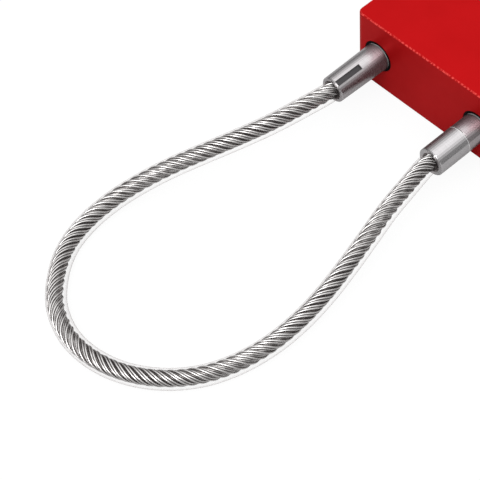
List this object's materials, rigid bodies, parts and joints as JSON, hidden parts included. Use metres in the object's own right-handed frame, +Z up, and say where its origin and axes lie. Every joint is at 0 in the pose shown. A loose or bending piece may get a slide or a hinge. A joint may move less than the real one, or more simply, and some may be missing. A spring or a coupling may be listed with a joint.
{
  "type": "cable luggage lock",
  "caption": "Luggage lock whose coated wire-rope loop plugs into a red metal body with code dials, a thumb slider and a key cylinder.",
  "frame": {"origin": "middle of the body's underside, measured without the loop and its two ferrules", "axes": "+X across the body from the fixed heel leg to the removable toe leg, +Y away from the loop along the body, +Z up through the dials"},
  "size_m": [0.0397, 0.1167, 0.0148],
  "materials": {
    "red_paint": "satin red paint over a die casting",
    "red_base": "satin red paint",
    "stainless": "turned and polished stainless steel",
    "plain_steel": "machined steel",
    "spring_steel": "rolled spring steel",
    "brass": "turned brass",
    "black_plastic": "moulded, fine grain",
    "dial_black": "moulded, with white numbers",
    "coated_rope": "stranded steel rope under a clear vinyl coat"
  },
  "bodies": {
    "root": {"body_shell": "red_paint", "base_plate": "red_base", "cover_screw_1": "plain_steel", "cover_screw_2": "plain_steel", "cover_screw_3": "plain_steel", "cover_screw_4": "plain_steel", "heel_bush": "black_plastic", "toe_bush": "black_plastic", "heel_ferrule": "stainless", "heel_pin": "plain_steel", "cable": "coated_rope", "dial_cradle": "black_plastic", "dial_detent_1": "spring_steel", "dial_detent_2": "spring_steel", "dial_detent_3": "spring_steel", "latch_detent": "spring_steel", "key_barrel": "brass", "reset_spring": "spring_steel"},
    "toe": {"toe_ferrule": "stainless", "toe_plug": "stainless"},
    "latch": {"latch_plate": "plain_steel", "thumb_slider": "black_plastic", "slider_screw": "plain_steel", "spindle": "plain_steel", "spindle_screw": "plain_steel"},
    "dial_1_body": {"dial_1": "dial_black", "code_sleeve_1": "brass"},
    "dial_2_body": {"dial_2": "dial_black", "code_sleeve_2": "brass"},
    "dial_3_body": {"dial_3": "dial_black", "code_sleeve_3": "brass"},
    "key": {"key_plug": "plain_steel", "key_cam": "plain_steel", "cam_clip": "spring_steel"},
    "reset": {"reset_button": "brass"}
  },
  "joints": [
    {"name": "toe_pull", "type": "slide", "parent": "root", "child": "toe", "axis": [0, -1, 0], "range_m": [0, 0.017], "deforming": ["cable"]},
    {"name": "latch_slide", "type": "slide", "parent": "root", "child": "latch", "axis": [1, 0, 0], "range_m": [0, 0.002]},
    {"name": "dial_1_turn", "type": "hinge", "parent": "root", "child": "dial_1_body", "pos_m": [-0.0056, -0.0002, 0.008], "axis": [1, 0, 0], "continuous": true},
    {"name": "dial_2_turn", "type": "hinge", "parent": "root", "child": "dial_2_body", "pos_m": [0, -0.0002, 0.008], "axis": [1, 0, 0], "continuous": true},
    {"name": "dial_3_turn", "type": "hinge", "parent": "root", "child": "dial_3_body", "pos_m": [0.0056, -0.0002, 0.008], "axis": [1, 0, 0], "continuous": true},
    {"name": "key_turn", "type": "hinge", "parent": "root", "child": "key", "pos_m": [0.0045, 0.0151, 0.00695], "axis": [0, 1, 0], "range_deg": [0, 90]},
    {"name": "reset_push", "type": "slide", "parent": "root", "child": "reset", "axis": [0, 0, 1], "range_m": [0, 0.0012], "stiffness_N_per_m": 150, "deforming": ["reset_spring"]}
  ]
}
